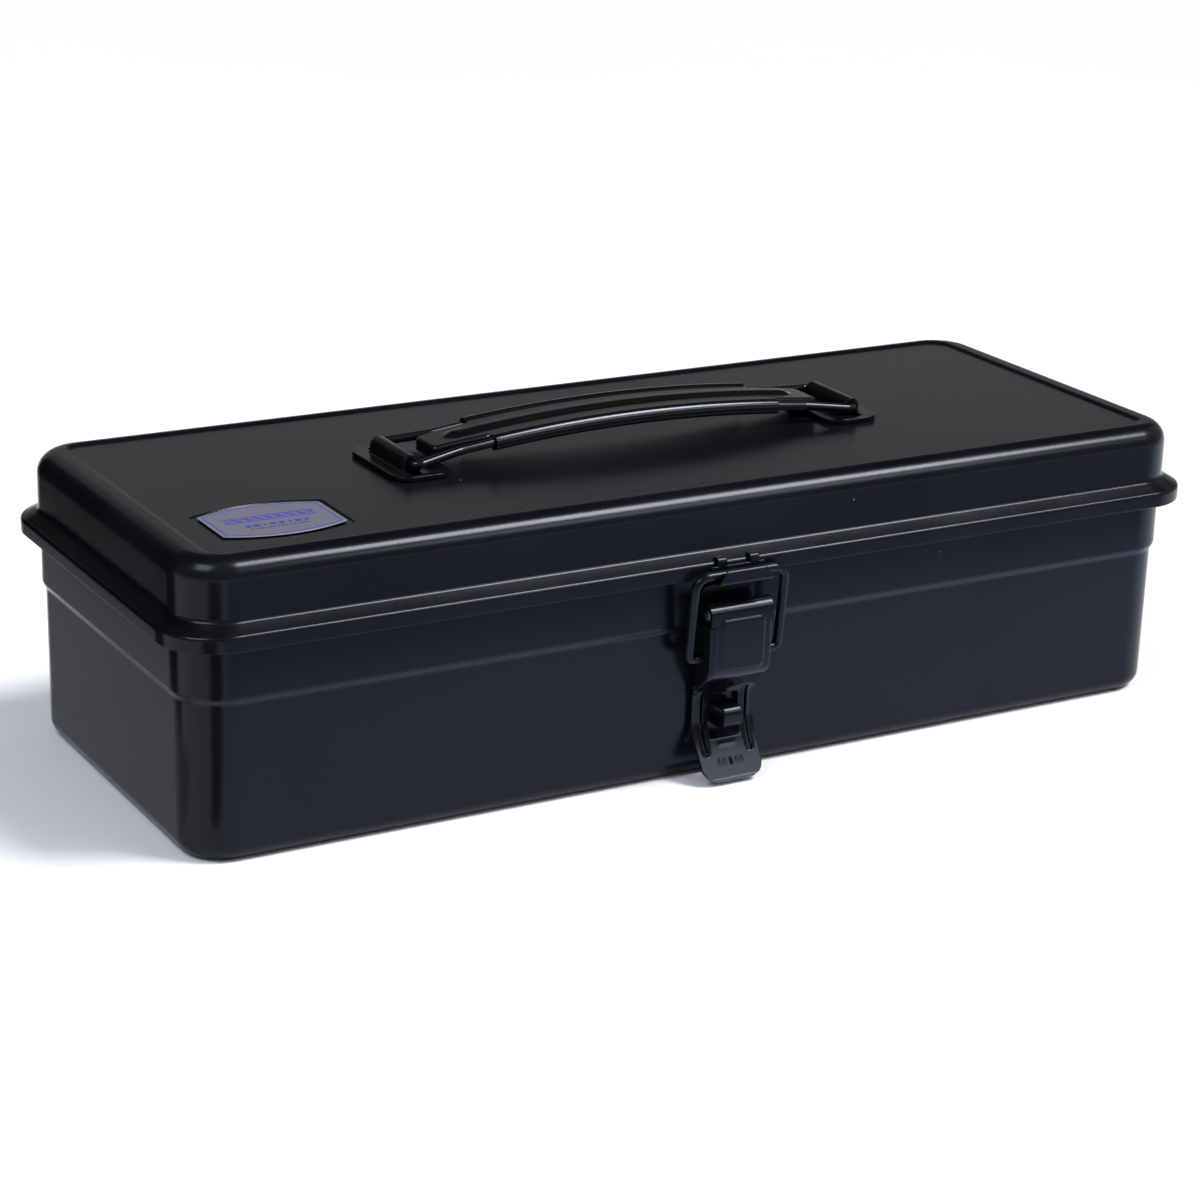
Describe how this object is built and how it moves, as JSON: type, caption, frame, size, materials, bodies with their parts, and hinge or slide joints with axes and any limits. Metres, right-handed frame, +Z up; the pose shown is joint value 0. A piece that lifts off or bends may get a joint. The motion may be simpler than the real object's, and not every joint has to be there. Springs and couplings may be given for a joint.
{
  "type": "steel utility box",
  "caption": "Black pressed-steel trunk box with a hinged lid, an over-centre draw latch, a padlock staple, a nameplate and an arched lift-up grip on two wire bails.",
  "frame": {"origin": "centre of the flat bottom face that the box stands on", "axes": "+X along the box to the right as seen from the latch side, -Y towards the front (latch) side, +Z up"},
  "size_m": [0.333, 0.1412, 0.096],
  "materials": {
    "shell_paint": "satin black enamel on pressed steel, faint orange peel",
    "latch_paint": "satin black enamel, thin on the bent edges",
    "handle_paint": "glossy black enamel",
    "pin_steel": "darkened steel wire, cut ends",
    "printed_plate": "satin silver-lavender foil with a thin blue border and plain blue bars"
  },
  "bodies": {
    "body": {"body_shell": "shell_paint", "latch_base": "latch_paint", "latch_pivot_pin": "pin_steel", "padlock_staple": "latch_paint", "hinge_body_leaf_right": "shell_paint", "hinge_body_leaf_left": "shell_paint", "hinge_pin_right": "pin_steel", "hinge_pin_left": "pin_steel"},
    "lid": {"lid_shell": "shell_paint", "nameplate": "printed_plate", "handle_bracket_right": "handle_paint", "handle_bracket_left": "handle_paint", "latch_keeper": "latch_paint", "hinge_lid_leaf_right": "shell_paint", "hinge_lid_leaf_left": "shell_paint"},
    "grip": {"handle_grip": "handle_paint"},
    "bail_right": {"handle_bail_right": "handle_paint"},
    "bail_left": {"handle_bail_left": "handle_paint"},
    "lever": {"latch_lever": "latch_paint"},
    "ring": {"latch_ring": "latch_paint"}
  },
  "joints": [
    {"name": "lid_hinge", "type": "hinge", "parent": "body", "child": "lid", "pos_m": [0, 0.0679, 0.062], "axis": [-1, 0, 0], "range_deg": [0, 105]},
    {"name": "grip_lift", "type": "slide", "parent": "lid", "child": "grip", "axis": [0, 0, 1], "range_m": [0, 0.012]},
    {"name": "bail_right_tilt", "type": "hinge", "parent": "lid", "child": "bail_right", "pos_m": [0.074, 0, 0.0876], "axis": [0, 1, 0], "range_deg": [0, 24]},
    {"name": "bail_left_tilt", "type": "hinge", "parent": "lid", "child": "bail_left", "pos_m": [-0.074, 0, 0.0876], "axis": [0, -1, 0], "range_deg": [0, 24]},
    {"name": "latch_lever_swing", "type": "hinge", "parent": "body", "child": "lever", "pos_m": [0, -0.0671, 0.0512], "axis": [-1, 0, 0], "range_deg": [0, 95]},
    {"name": "latch_ring_swing", "type": "hinge", "parent": "lever", "child": "ring", "pos_m": [0, -0.0659, 0.0382], "axis": [-1, 0, 0], "range_deg": [-54, 0]}
  ],
  "couplings": [
    {"joint": "bail_right_tilt", "follows": "grip_lift", "rad_per_m": 34},
    {"joint": "bail_left_tilt", "follows": "grip_lift", "rad_per_m": 34},
    {"joint": "latch_ring_swing", "follows": "latch_lever_swing", "ratio": -0.55}
  ]
}
